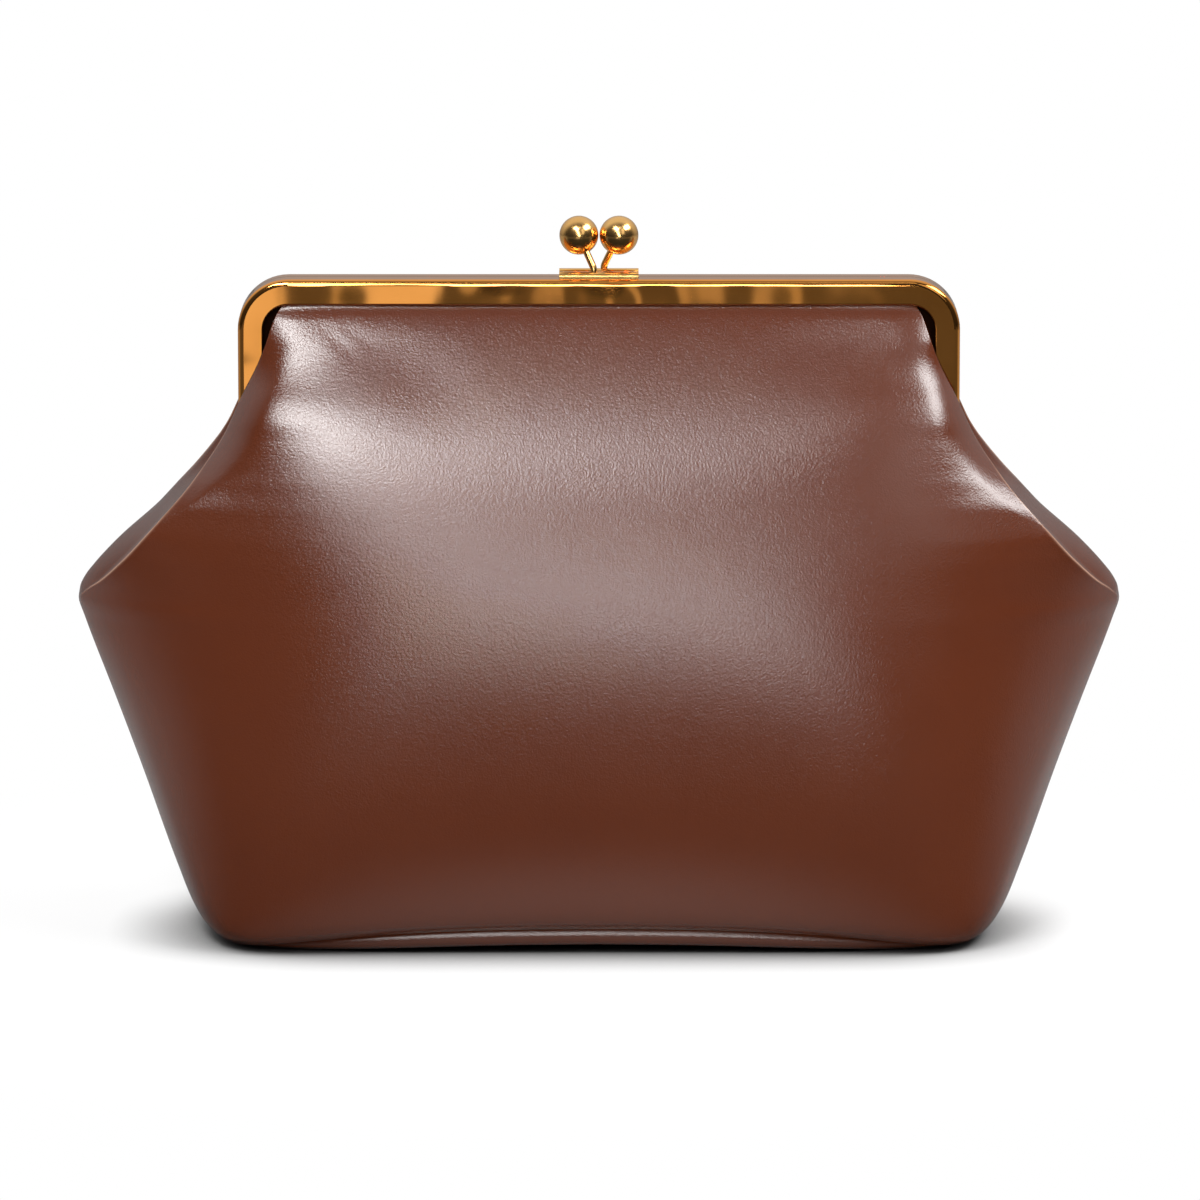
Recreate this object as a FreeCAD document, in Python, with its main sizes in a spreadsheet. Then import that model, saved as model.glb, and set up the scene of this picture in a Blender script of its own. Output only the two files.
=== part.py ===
import FreeCAD, Part
import math
import os

import Sketcher

# Kiss lock frame purse: a leather bag hung in a two-part brass channel frame, hinged at the
# leg ends and held shut by two balls on leaning stems.
# Millimetres, +Z up, front is -Y, origin on the floor under the middle of the bag.

Vector = FreeCAD.Vector
doc = FreeCAD.newDocument("kiss_lock_purse")
sheet = doc.addObject("Spreadsheet::Sheet", "sheet")

DIMENSIONS = (
    # Bag
    ("bag_width", 290, "tip to tip"),
    ("bag_depth", 96, "front to back at the belly"),
    ("base_width", 216, "base, left to right"),
    ("base_depth", 80, "base, front to back"),
    ("base_thickness", 4, "rolled base panel"),
    ("base_corner", 30, "base corner radius, seen from above"),
    ("base_edge", 1.6, "rounding of the base's rim"),
    ("base_foot", 22, "flat stretch at each end of the base"),
    ("base_rise", 2, "arch of the base between its feet"),
    ("leather", 1.6, "leather thickness"),
    ("lining", 0.6, "lining thickness"),
    ("board", 1.4, "base board thickness"),
    ("ply_gap", 0.3, "gap between plies"),
    ("seam_gap", 0.2, "gap between panels at a seam"),
    ("board_inset", 9, "base board edge inside the base's edge"),
    ("tip_height", 93, "widest place of the bag above the floor"),
    ("shoulder", 10.2, "bag's edge past the legs at the hinge"),
    ("gusset_fold", 14, "how far the gusset folds in at its deepest"),
    ("gusset_clearance", 0.4, "gusset's fold to the rivet's head"),
    ("panel_split", 3, "top of the lower panel, below the hinge axis"),
    ("flap_split", 2, "bottom of the upper panel, above the hinge axis"),
    # Frame
    ("frame_width", 200, "outside of the legs"),
    ("frame_top", 184, "top of the frame above the floor"),
    ("frame_leg", 50, "frame top to hinge axis"),
    ("frame_bar", 7, "face width of the channel"),
    ("frame_depth", 6.6, "one half, front to back"),
    ("frame_wall", 1, "channel wall"),
    ("frame_corner", 14, "outer corner radius"),
    ("frame_edge", 1.7, "rounding of the outer front edge"),
    ("frame_lip", 0.4, "rounding of the inner lip"),
    ("parting_gap", 0.3, "between the two halves"),
    ("cover_gap", 0.6, "leather in front of the legs"),
    # Hinge
    ("ear_radius", 4.2, "round end of the hinge ear"),
    ("ear_gap", 0.3, "between the ears"),
    ("ear_tab", 6, "ear's tab up the leg"),
    ("leg_clearance", 0.4, "leg end to the other half's ear"),
    ("rivet_radius", 1.25, "rivet shaft"),
    ("rivet_head_radius", 2.4, "rivet head"),
    ("rivet_head", 0.8, "rivet head height"),
    ("rivet_clearance", 0.05, "running clearance in the ears"),
    ("rivet_play", 0.1, "end play under the heads"),
    # Clasp
    ("plate_length", 22, "clasp plate along the bar"),
    ("plate_depth", 3.6, "clasp plate, front to back"),
    ("plate_height", 1.9, "clasp plate"),
    ("plate_side", 0.6, "straight side of the plate"),
    ("stem_radius", 0.95, "clasp stem"),
    ("stem_bend", 3, "bend of the stem's centreline"),
    ("stem_offset", 1.4, "stem foot from the centre, towards its ball"),
    ("ball_radius", 5.4, "clasp ball"),
    ("ball_gap", 0.3, "between the closed balls"),
    ("ball_height", 11.6, "ball centre above the frame"),
    ("clasp_fit", 0.02, "stem in plate and ball"),
    ("cord_radius", 0.6, "paper cord in the channel"),
    ("overrun", 1, "past the faces that a cut goes through"),
)

for row, (alias, value, note) in enumerate(DIMENSIONS, 1):
    sheet.set(f"A{row}", alias)
    sheet.set(f"B{row}", str(value))
    sheet.setAlias(f"B{row}", alias)
    sheet.set(f"C{row}", note)
doc.recompute()


class Length:
    """A size worked out from the sheet: its value now and the expression that binds it."""

    def __init__(self, value, text):
        self.value = value
        self.text = text

    @staticmethod
    def of(thing):
        return thing if isinstance(thing, Length) else Length(thing, repr(thing))

    def __add__(self, other):
        other = Length.of(other)
        return Length(self.value + other.value, f"({self.text} + {other.text})")

    def __sub__(self, other):
        other = Length.of(other)
        return Length(self.value - other.value, f"({self.text} - {other.text})")

    def __mul__(self, other):
        other = Length.of(other)
        return Length(self.value * other.value, f"({self.text} * {other.text})")

    def __truediv__(self, other):
        other = Length.of(other)
        return Length(self.value / other.value, f"({self.text} / {other.text})")

    def __rmul__(self, other):
        return Length.of(other) * self

    def __neg__(self):
        return self * -1

    def squared(self):
        return self * self

    def root(self):
        return Length(math.sqrt(self.value), f"sqrt{self.text}")


class Sizes:
    """The sheet's cells by name."""


ZERO = Length(0, "0")
dim = Sizes()
for alias, _, _ in DIMENSIONS:
    setattr(dim, alias, Length(float(sheet.get(alias)), f"sheet.{alias}"))

# Places worked out from the sheet.
HINGE_Z = dim.frame_top - dim.frame_leg
LEG_END_Z = HINGE_Z + dim.ear_radius + dim.leg_clearance
HALF_WIDTH = dim.frame_width / 2
BACK_Y = dim.parting_gap / 2
FRONT_Y = BACK_Y + dim.frame_depth
CHANNEL_Y = BACK_Y + dim.frame_depth / 2
BALL_X = dim.ball_radius + dim.ball_gap / 2
STEM_REACH = ((BALL_X - dim.stem_offset).squared() + CHANNEL_Y.squared()).root()

TURN = {"front": 0, "back": 180}
SECTION_POINTS = 13


def origin_plane(body, role):
    return next(f for f in body.Origin.OriginFeatures if f.Role == role)


def new_body(label, yaw=0, place=(ZERO, ZERO, ZERO)):
    """A body whose place is bound to the sheet, turned about Z."""
    body = doc.addObject("PartDesign::Body", label)
    body.Label = label
    body.Placement = FreeCAD.Placement(Vector(), FreeCAD.Rotation(Vector(0, 0, 1), yaw))
    for axis, length in zip("xyz", place):
        body.setExpression(f"Placement.Base.{axis}", length.text)
    return body


def new_sketch(body, name, role, offset=None):
    sketch = body.newObject("Sketcher::SketchObject", name)
    sketch.AttachmentSupport = (origin_plane(body, role), "")
    sketch.MapMode = "FlatFace"
    if offset:
        sketch.setExpression("AttachmentOffset.Base.z", offset.text)
    return sketch


def bind_point(sketch, geometry, position, point):
    """Ties one end of a sketch edge to a place given as two lengths."""
    for kind, length in zip(("DistanceX", "DistanceY"), point):
        constraint = Sketcher.Constraint(kind, -1, 1, geometry, position, length.value)
        sketch.setExpression(f"Constraints[{sketch.addConstraint(constraint)}]", length.text)


def bind_radius(sketch, geometry, radius):
    constraint = Sketcher.Constraint("Radius", geometry, radius.value)
    sketch.setExpression(f"Constraints[{sketch.addConstraint(constraint)}]", radius.text)


def draw_loop(sketch, points, arcs=None):
    """A closed outline through points, each a pair of lengths.
    arcs gives, for the edge that leaves a point, its radius and turn (1 left, -1 right)."""
    arcs = arcs or {}
    spots = [Vector(x.value, y.value, 0) for x, y in points]
    edges = []
    for i, start in enumerate(spots):
        end = spots[(i + 1) % len(spots)]
        if i not in arcs:
            edges.append((sketch.addGeometry(Part.LineSegment(start, end)), 1, 2))
            continue
        radius, turn = arcs[i]
        reach = radius.value
        chord = end - start
        height = math.sqrt(max(reach**2 - (chord.Length / 2) ** 2, 0))
        side = Vector(-chord.y, chord.x, 0).normalize() * turn
        centre = start + chord * 0.5 + side * height
        circle = Part.Circle(centre, Vector(0, 0, 1), reach)
        low, high = (start, end) if turn > 0 else (end, start)
        arc = Part.ArcOfCircle(circle, circle.parameter(low), circle.parameter(high))
        first, last = (1, 2) if turn > 0 else (2, 1)
        edges.append((sketch.addGeometry(arc), first, last))
        bind_radius(sketch, edges[-1][0], radius)
    for i, (edge, first, last) in enumerate(edges):
        after, after_first, _ = edges[(i + 1) % len(edges)]
        sketch.addConstraint(Sketcher.Constraint("Coincident", edge, last, after, after_first))
        bind_point(sketch, edge, first, points[i])


def draw_circle(sketch, centre, radius):
    spot = Vector(centre[0].value, centre[1].value, 0)
    circle = sketch.addGeometry(Part.Circle(spot, Vector(0, 0, 1), radius.value))
    bind_point(sketch, circle, 3, centre)
    bind_radius(sketch, circle, radius)


def pad(body, sketch, length, reverse=False):
    feature = body.newObject("PartDesign::Pad", sketch.Name + "_pad")
    feature.Profile = sketch
    feature.setExpression("Length", length.text)
    feature.Reversed = reverse
    doc.recompute()
    return feature


def pocket(body, sketch, length, reverse=False):
    """A cut that is checked to have taken something away."""
    before = body.Shape.Volume
    feature = body.newObject("PartDesign::Pocket", sketch.Name + "_cut")
    feature.Profile = sketch
    feature.setExpression("Length", length.text)
    feature.Reversed = reverse
    doc.recompute()
    if body.Shape.Volume >= before:
        raise RuntimeError(f"{feature.Name} cut nothing")
    return feature


def round_edges(body, name, radius, wanted):
    """Rounds each edge of the body that wanted() picks."""
    tip = body.Tip
    names = [f"Edge{i}" for i, e in enumerate(tip.Shape.Edges, 1) if wanted(e)]
    feature = body.newObject("PartDesign::Fillet", name)
    feature.Base = (tip, names)
    feature.setExpression("Radius", radius.text)
    doc.recompute()
    return feature


def u_outline(sketch, outer, inner, end_z):
    """An upside-down U: legs and a top bar with round corners.
    outer and inner are how far each edge lies inside the frame's outside."""
    points, arcs = [], {}
    shoulder = dim.frame_top - dim.frame_corner
    for inset, order in ((outer, (-1, 1)), (inner, (1, -1))):
        radius = dim.frame_corner - inset
        for side in order:
            edge = side * (HALF_WIDTH - inset)
            bend = side * (HALF_WIDTH - dim.frame_corner)
            leg = [(edge, end_z), (edge, shoulder), (bend, dim.frame_top - inset)]
            upward = side == order[0]
            arcs[len(points) + (1 if upward else 0)] = (radius, -1 if inset is outer else 1)
            points += leg if upward else leg[::-1]
    draw_loop(sketch, points, arcs)


def ear_outline(sketch):
    """A hinge ear in the YZ plane: a round end on the hinge axis and a tab up the leg."""
    near, far = -BACK_Y, -(FRONT_Y - dim.frame_edge)
    radius = dim.ear_radius
    points = [
        (near, LEG_END_Z + dim.ear_tab),
        (far, LEG_END_Z + dim.ear_tab),
        (far, LEG_END_Z),
        (-radius, HINGE_Z),
        (ZERO, HINGE_Z - radius),
        (radius, HINGE_Z),
        (ZERO, HINGE_Z + radius),
        (near, LEG_END_Z),
    ]
    draw_loop(sketch, points, {i: (radius, 1) for i in (3, 4, 5)})
    draw_circle(sketch, (ZERO, HINGE_Z), dim.rivet_radius + dim.rivet_clearance)


def make_frame(half, ear_inset):
    """One channel half with its two hinge ears. ear_inset is how far the ears' outer faces lie
    inside the frame's outside."""
    body = new_body(f"{half}_frame", TURN[half])
    bar = new_sketch(body, f"{half}_bar", "XZ_Plane", BACK_Y)
    u_outline(bar, ZERO, dim.frame_bar, LEG_END_Z)
    pad(body, bar, dim.frame_depth)
    channel = new_sketch(body, f"{half}_channel", "XZ_Plane", BACK_Y + dim.frame_wall)
    u_outline(channel, dim.frame_wall, dim.frame_bar + dim.overrun, LEG_END_Z - dim.overrun)
    pocket(body, channel, dim.frame_depth - 2 * dim.frame_wall, reverse=True)

    front, top, corner = -FRONT_Y.value, dim.frame_top.value, dim.frame_corner.value

    def inset_of(point):
        """How far a point of the front view lies inside the frame's outside."""
        beside, below = HALF_WIDTH.value - abs(point.x), top - point.z
        if beside < corner and below < corner:
            return corner - math.hypot(corner - beside, corner - below)
        return min(beside, below)

    def on_front(edge, inset):
        middle = edge.valueAt((edge.FirstParameter + edge.LastParameter) / 2)
        flat = all(abs(v.Point.y - front) < BACK_Y.value for v in edge.Vertexes)
        return flat and abs(inset_of(middle) - inset.value) < dim.frame_lip.value

    round_edges(body, f"{half}_outer_round", dim.frame_edge, lambda e: on_front(e, ZERO))
    round_edges(body, f"{half}_lip_round", dim.frame_lip, lambda e: on_front(e, dim.frame_bar))

    for side, name in ((1, "right"), (-1, "left")):
        near = side * (HALF_WIDTH - ear_inset - dim.frame_wall)
        ear = new_sketch(body, f"{half}_{name}_ear", "YZ_Plane", near)
        ear_outline(ear)
        pad(body, ear, dim.frame_wall, reverse=side < 0)
    return body


def make_rivet(side, yaw):
    """Hinge rivet: a shaft through both ears with a domed head at each end, turned about X."""
    body = new_body(f"{side}_hinge_rivet", yaw, (ZERO, ZERO, HINGE_Z))
    outer = HALF_WIDTH + dim.rivet_play
    inner = HALF_WIDTH - 2 * dim.frame_wall - dim.ear_gap - dim.rivet_play
    dome = (dim.rivet_head_radius.squared() + dim.rivet_head.squared()) / (2 * dim.rivet_head)
    points = [
        (inner - dim.rivet_head, ZERO),
        (outer + dim.rivet_head, ZERO),
        (outer, dim.rivet_head_radius),
        (outer, dim.rivet_radius),
        (inner, dim.rivet_radius),
        (inner, dim.rivet_head_radius),
    ]
    profile = new_sketch(body, f"{side}_rivet_profile", "XZ_Plane")
    draw_loop(profile, points, {1: (dome, 1), 5: (dome, 1)})
    turned = body.newObject("PartDesign::Revolution", f"{side}_rivet_turned")
    turned.Profile = profile
    turned.ReferenceAxis = (profile, ["H_Axis"])
    doc.recompute()
    return body


def make_plate(half):
    """Clasp plate: a half-round strip on top of the bar, drilled for the stem's foot."""
    body = new_body(f"{half}_clasp_plate", TURN[half])
    profile = new_sketch(body, f"{half}_plate_profile", "YZ_Plane", -dim.plate_length / 2)
    crown = dim.plate_height - dim.plate_side
    radius = (dim.plate_depth.squared() / 4 + crown.squared()) / (2 * crown)
    near, far = dim.plate_depth / 2 - CHANNEL_Y, -(dim.plate_depth / 2 + CHANNEL_Y)
    side_z = dim.frame_top + dim.plate_side
    points = [(far, dim.frame_top), (near, dim.frame_top), (near, side_z), (far, side_z)]
    draw_loop(profile, points, {2: (radius, 1)})
    pad(body, profile, dim.plate_length)
    hole = new_sketch(body, f"{half}_plate_hole", "XY_Plane", dim.frame_top - dim.overrun)
    draw_circle(hole, (-dim.stem_offset, -CHANNEL_Y), dim.stem_radius + dim.clasp_fit)
    pocket(body, hole, dim.plate_height + 2 * dim.overrun, reverse=True)
    return body


def stem_lean():
    """The stem's turn from upright and its heading, so that it points at the ball's centre."""
    bend = dim.stem_bend.value
    beyond = STEM_REACH.value - bend
    rise = dim.ball_height.value - dim.plate_height.value
    lean = math.asin(bend / math.hypot(beyond, rise)) + math.atan2(beyond, rise)
    heading = math.atan2(CHANNEL_Y.value, dim.stem_offset.value - BALL_X.value)
    return lean, math.degrees(heading)


def half_turned(half, length):
    """A coordinate of the front half's piece, carried to this half by a half turn about Z."""
    return length if half == "front" else -length


def make_stem(half):
    """Clasp stem: a wire that stands in the plate, bends over and runs into the ball."""
    lean, heading = stem_lean()
    place = (half_turned(half, -dim.stem_offset), half_turned(half, -CHANNEL_Y), dim.frame_top)
    body = new_body(f"{half}_clasp_stem", TURN[half] + heading, place)
    section = new_sketch(body, f"{half}_stem_section", "XY_Plane")
    draw_circle(section, (ZERO, ZERO), dim.stem_radius)
    route = new_sketch(body, f"{half}_stem_route", "XZ_Plane")
    foot, bend = dim.plate_height.value, dim.stem_bend.value
    bend_end = Vector(bend - bend * math.cos(lean), foot + bend * math.sin(lean), 0)
    tip = Vector(STEM_REACH.value, dim.ball_height.value, 0)
    circle = Part.Circle(Vector(bend, foot, 0), Vector(0, 0, 1), bend)
    upright = route.addGeometry(Part.LineSegment(Vector(), Vector(0, foot, 0)))
    arc = route.addGeometry(Part.ArcOfCircle(circle, math.pi - lean, math.pi))
    slant = route.addGeometry(Part.LineSegment(bend_end, tip))
    bind_point(route, upright, 1, (ZERO, ZERO))
    bind_point(route, upright, 2, (ZERO, dim.plate_height))
    route.addConstraint(Sketcher.Constraint("Tangent", upright, 2, arc, 2))
    route.addConstraint(Sketcher.Constraint("Tangent", arc, 1, slant, 1))
    bind_radius(route, arc, dim.stem_bend)
    bind_point(route, slant, 2, (STEM_REACH, dim.ball_height))
    doc.recompute()
    wire = body.newObject("PartDesign::AdditivePipe", f"{half}_stem_wire")
    wire.Profile = section
    wire.Spine = route
    doc.recompute()
    return body


def make_ball(half):
    """Clasp ball, drilled to its centre for the stem."""
    lean, heading = stem_lean()
    ball = doc.addObject("Part::Sphere", f"{half}_ball_round")
    ball.setExpression("Radius", dim.ball_radius.text)
    socket = doc.addObject("Part::Cylinder", f"{half}_ball_socket")
    socket.setExpression("Radius", (dim.stem_radius + dim.clasp_fit).text)
    socket.setExpression("Height", (dim.ball_radius + dim.overrun).text)
    down = FreeCAD.Rotation(Vector(0, 1, 0), 180 + math.degrees(lean))
    turn = FreeCAD.Rotation(Vector(0, 0, 1), heading + TURN[half])
    socket.Placement = FreeCAD.Placement(Vector(), turn.multiply(down))
    drilled = doc.addObject("Part::Cut", f"{half}_clasp_ball")
    drilled.Label = f"{half}_clasp_ball"
    drilled.Base, drilled.Tool = ball, socket
    drilled.setExpression("Placement.Base.x", half_turned(half, -BALL_X).text)
    drilled.setExpression("Placement.Base.z", (dim.frame_top + dim.ball_height).text)
    return drilled


def make_paper_cord(half):
    """Twisted paper cord that wedges the leather and lining into the channel of the bar."""
    cord = doc.addObject("Part::Cylinder", f"{half}_paper_cord")
    cord.Label = f"{half}_paper_cord"
    cord.setExpression("Radius", dim.cord_radius.text)
    cord.setExpression("Height", (dim.frame_width - 2 * dim.frame_corner).text)
    cord.Placement = FreeCAD.Placement(Vector(), FreeCAD.Rotation(Vector(0, 1, 0), 90))
    depth = FRONT_Y - dim.frame_wall - 2 * dim.ply_gap - dim.leather - dim.cord_radius
    height = dim.frame_top - dim.frame_wall - dim.ply_gap - dim.cord_radius
    place = (dim.frame_corner - HALF_WIDTH, half_turned(half, -depth), height)
    for axis, length in zip("xyz", place):
        cord.setExpression(f"Placement.Base.{axis}", length.text)
    return cord


# Soft pieces. A section is the front half of the bag seen from above at one height: it runs
# from the left seam over the belly to the right seam.
# Below the tips. Columns: height (of the tips'), half width (from the base's to the tips'),
# belly (from the base's depth to the bag's), flatness of the front, roundness of the sides.
LOWER_SHARES = (
    (0.000, 0.000, 0.00, 9.0, 0.40),
    (0.086, 0.150, 0.34, 8.0, 0.41),
    (0.216, 0.285, 0.61, 6.6, 0.44),
    (0.484, 0.527, 0.94, 4.8, 0.50),
    (0.753, 0.775, 0.92, 3.6, 0.60),
)
# From the tips to the hinge. Columns: height, half width (from the tips' to the shoulder's),
# belly (from the bag's depth to the belly at the hinge), flatness, roundness, seam (of half the
# bag's depth), fold (of the gusset's deepest).
UPPER_SHARES = (
    (0.000, 0.000, 0.18, 3.0, 0.66, 0.02, 0.03),
    (0.215, 0.144, 0.27, 2.6, 0.66, 0.26, 0.55),
    (0.463, 0.460, 0.44, 2.2, 0.60, 0.48, 0.90),
    (0.707, 0.718, 0.68, 2.2, 0.60, 0.45, 0.75),
    (1.000, 1.000, 1.00, 2.2, 0.60, 0.32, 0.50),
)
# The upper panel, from the bar down. Columns: height above the hinge (of the leg), edge past
# the legs (of the shoulder), seam and belly past the legs' front (of half the bag's depth).
FLAP_SHARES = (
    (0.72, -0.83, 0.000, 0.048),
    (0.52, -0.42, 0.005, 0.183),
    (0.32, -0.10, 0.018, 0.308),
    (0.00, 0.40, 0.047, 0.480),
)
FLAP_FLATNESS_SHARE, FLAP_ROUNDNESS_SHARE = 2.2, 0.60
HALF_BAG = dim.bag_width.value / 2
HALF_DEPTH = dim.bag_depth.value / 2
COVER_Y = FRONT_Y.value + dim.cover_gap.value + dim.leather.value
HINGE_BELLY = COVER_Y + HALF_DEPTH * FLAP_SHARES[-1][3]


def between(low, high, share):
    return low + (high - low) * share


def body_rows():
    """The lower panel's sections in millimetres: height, half width, belly, flatness, roundness,
    seam, fold."""
    tip, hinge = dim.tip_height.value, HINGE_Z.value
    half_base, base_deep = dim.base_width.value / 2, dim.base_depth.value / 2
    half_hinge = HALF_WIDTH.value + dim.shoulder.value
    rows = []
    for height, wide, deep, flatness, roundness in LOWER_SHARES:
        half_width = between(half_base, HALF_BAG, wide)
        belly = between(base_deep, HALF_DEPTH, deep)
        rows.append([tip * height, half_width, belly, flatness, roundness, 0, 0])
    for height, wide, deep, flatness, roundness, seam, fold in UPPER_SHARES:
        half_width = between(HALF_BAG, half_hinge, wide)
        belly = between(HALF_DEPTH, HINGE_BELLY, deep)
        depths = [HALF_DEPTH * seam, dim.gusset_fold.value * fold]
        rows.append([between(tip, hinge, height), half_width, belly, flatness, roundness, *depths])
    plies = dim.leather.value + dim.ply_gap.value + dim.lining.value
    head = dim.rivet_play.value + dim.rivet_head.value
    rows[-1][-1] = dim.shoulder.value - head - dim.gusset_clearance.value - plies
    return rows


def blend_rows(rows, key):
    """The row at a key between the rows of a table, whose first column is the key."""
    ordered = sorted(rows)
    for low, high in zip(ordered, ordered[1:]):
        if key <= high[0]:
            break
    share = (key - low[0]) / (high[0] - low[0])
    return [between(a, b, share) for a, b in zip(low, high)]


BODY_ROWS = body_rows()


def curve(half_width, seam, belly, flatness, roundness, z):
    """A section's line from the left seam over the belly to the right seam."""
    points = []
    for i in range(SECTION_POINTS):
        across = math.sin(math.pi * (i / (SECTION_POINTS - 1) - 0.5))
        swell = max(1 - abs(across) ** flatness, 0) ** roundness
        points.append(Vector(half_width * across, -seam - (belly - seam) * swell, z))
    line = Part.BSplineCurve()
    line.interpolate(points)
    return line, points[0], points[-1]


def strip(outer, inner):
    """A closed section between an outer and an inner line."""
    (out_line, out_left, out_right), (in_line, in_left, in_right) = outer, inner
    return Part.Wire(
        [
            out_line.toShape(),
            Part.LineSegment(out_right, in_right).toShape(),
            in_line.toShape(),
            Part.LineSegment(in_left, out_left).toShape(),
        ]
    )


def body_strip(height, inset, ply):
    """The lower panel's section at a height, a ply thick, set in from the outside."""
    row = blend_rows(BODY_ROWS, height)
    _, half_width, belly, flatness, roundness, seam, _ = row
    edge = seam + dim.seam_gap.value / 2
    lines = [
        curve(half_width - 2 * depth, edge, belly - depth, flatness, roundness, height)
        for depth in (inset, inset + ply)
    ]
    return strip(*lines)


def arch_prism(lift):
    """Everything below the arched base's underside, lifted."""
    span, reach = dim.base_width.value / 2 - dim.base_foot.value, dim.bag_width.value
    rise, deep = dim.base_rise.value, dim.bag_depth.value
    below = -dim.overrun.value - lift
    left, right = Vector(-span, -deep, lift), Vector(span, -deep, lift)
    arch = Part.Arc(left, Vector(0, -deep, lift + rise), right).toShape()
    corners = [right, Vector(reach, -deep, lift), Vector(reach, -deep, below)]
    corners += [Vector(-reach, -deep, below), Vector(-reach, -deep, lift), left]
    outline = Part.Wire([arch] + Part.makePolygon(corners).Edges)
    return Part.Face(outline).extrude(Vector(0, 2 * deep, 0))


def soft_piece(label, shape, yaw=0):
    """A soft piece, turned about Z into its place."""
    piece = doc.addObject("Part::Feature", label)
    piece.Label = label
    piece.Shape = shape
    piece.Placement = FreeCAD.Placement(Vector(), FreeCAD.Rotation(Vector(0, 0, 1), yaw))
    return piece


def lower_panel(inset, ply, top, floor):
    """The bag's front from the base to the hinge, as a ply set in from the outside."""
    heights = [row[0] for row in BODY_ROWS if row[0] < top]
    sections = [body_strip(z, inset, ply) for z in [*heights, top]]
    return Part.makeLoft(sections, True, True).cut(arch_prism(floor))


def upper_panel(inset, ply, bottom, widest):
    """The bag's front from the channel of the bar down to just above the hinge, no wider than
    widest either side."""
    top, bar, corner = dim.frame_top.value, dim.frame_bar.value, dim.frame_corner.value
    leg, half_frame = dim.frame_leg.value, dim.frame_width.value / 2
    channel_top = top - dim.frame_wall.value - dim.ply_gap.value
    channel_front = FRONT_Y.value - dim.frame_wall.value - dim.ply_gap.value
    sections = []
    for z in (channel_top, top - bar):
        lines = []
        for depth in (inset, inset + ply):
            y = channel_front - depth
            lines.append(curve(half_frame - corner - inset, y, y, 1, 1, z))
        sections.append(strip(*lines))
    for height, past, seam, belly in [r for r in FLAP_SHARES if r[0]] + [
        blend_rows(FLAP_SHARES, bottom / leg)
    ]:
        lines = []
        for depth in (inset, inset + ply):
            half_width = min(half_frame + dim.shoulder.value * past, widest) - depth
            lines.append(
                curve(
                    half_width,
                    COVER_Y + HALF_DEPTH * seam - depth,
                    COVER_Y + HALF_DEPTH * belly - depth,
                    FLAP_FLATNESS_SHARE,
                    FLAP_ROUNDNESS_SHARE,
                    HINGE_Z.value + height * leg,
                )
            )
        sections.append(strip(*lines))
    return Part.makeLoft(sections, True, True)


def gusset(inset, ply):
    """The right-hand side between the seams, folded in along the middle."""
    sections = []
    for z, half_width, _, _, _, seam, fold in BODY_ROWS:
        if not seam:
            continue
        edge, side = half_width - inset, seam - dim.seam_gap.value / 2
        corners = [
            Vector(edge, -side, z),
            Vector(edge - fold, 0, z),
            Vector(edge, side, z),
            Vector(edge - ply, side, z),
            Vector(edge - ply - fold, 0, z),
            Vector(edge - ply, -side, z),
        ]
        sections.append(Part.makePolygon([*corners, corners[0]]))
    return Part.makeLoft(sections, True, True)


def arched_plate(label, inset, lift, thickness):
    """A plate that follows the base's arch: the base panel, the board or the lining's floor."""
    body = new_body(label)
    profile = new_sketch(body, f"{label}_profile", "XZ_Plane", inset - dim.base_depth / 2)
    half = dim.base_width / 2 - inset
    foot = dim.base_width / 2 - dim.base_foot
    high = lift + thickness
    radius = (foot.squared() + dim.base_rise.squared()) / (2 * dim.base_rise)
    points = [(-half, lift), (-foot, lift), (foot, lift), (half, lift)]
    points += [(half, high), (foot, high), (-foot, high), (-half, high)]
    draw_loop(profile, points, {1: (radius, -1), 5: (radius, 1)})
    pad(body, profile, dim.base_depth - 2 * inset)
    trim = new_sketch(body, f"{label}_outline", "XY_Plane", -dim.overrun)
    deep = dim.base_depth / 2 - inset
    past_x, past_y = half + dim.overrun, deep + dim.overrun
    draw_loop(
        trim,
        [(-past_x, -past_y), (past_x, -past_y), (past_x, past_y), (-past_x, past_y)],
    )
    corner = dim.base_corner - inset
    inner_x, inner_y = half - corner, deep - corner
    rounded = []
    for side_x, side_y in ((1, -1), (1, 1), (-1, 1), (-1, -1)):
        ends = [(side_x * inner_x, side_y * deep), (side_x * half, side_y * inner_y)]
        rounded += ends if side_x * side_y < 0 else ends[::-1]
    draw_loop(trim, rounded, {i: (corner, 1) for i in (0, 2, 4, 6)})
    pocket(body, trim, high + dim.base_rise + 2 * dim.overrun, reverse=True)
    return body


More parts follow.
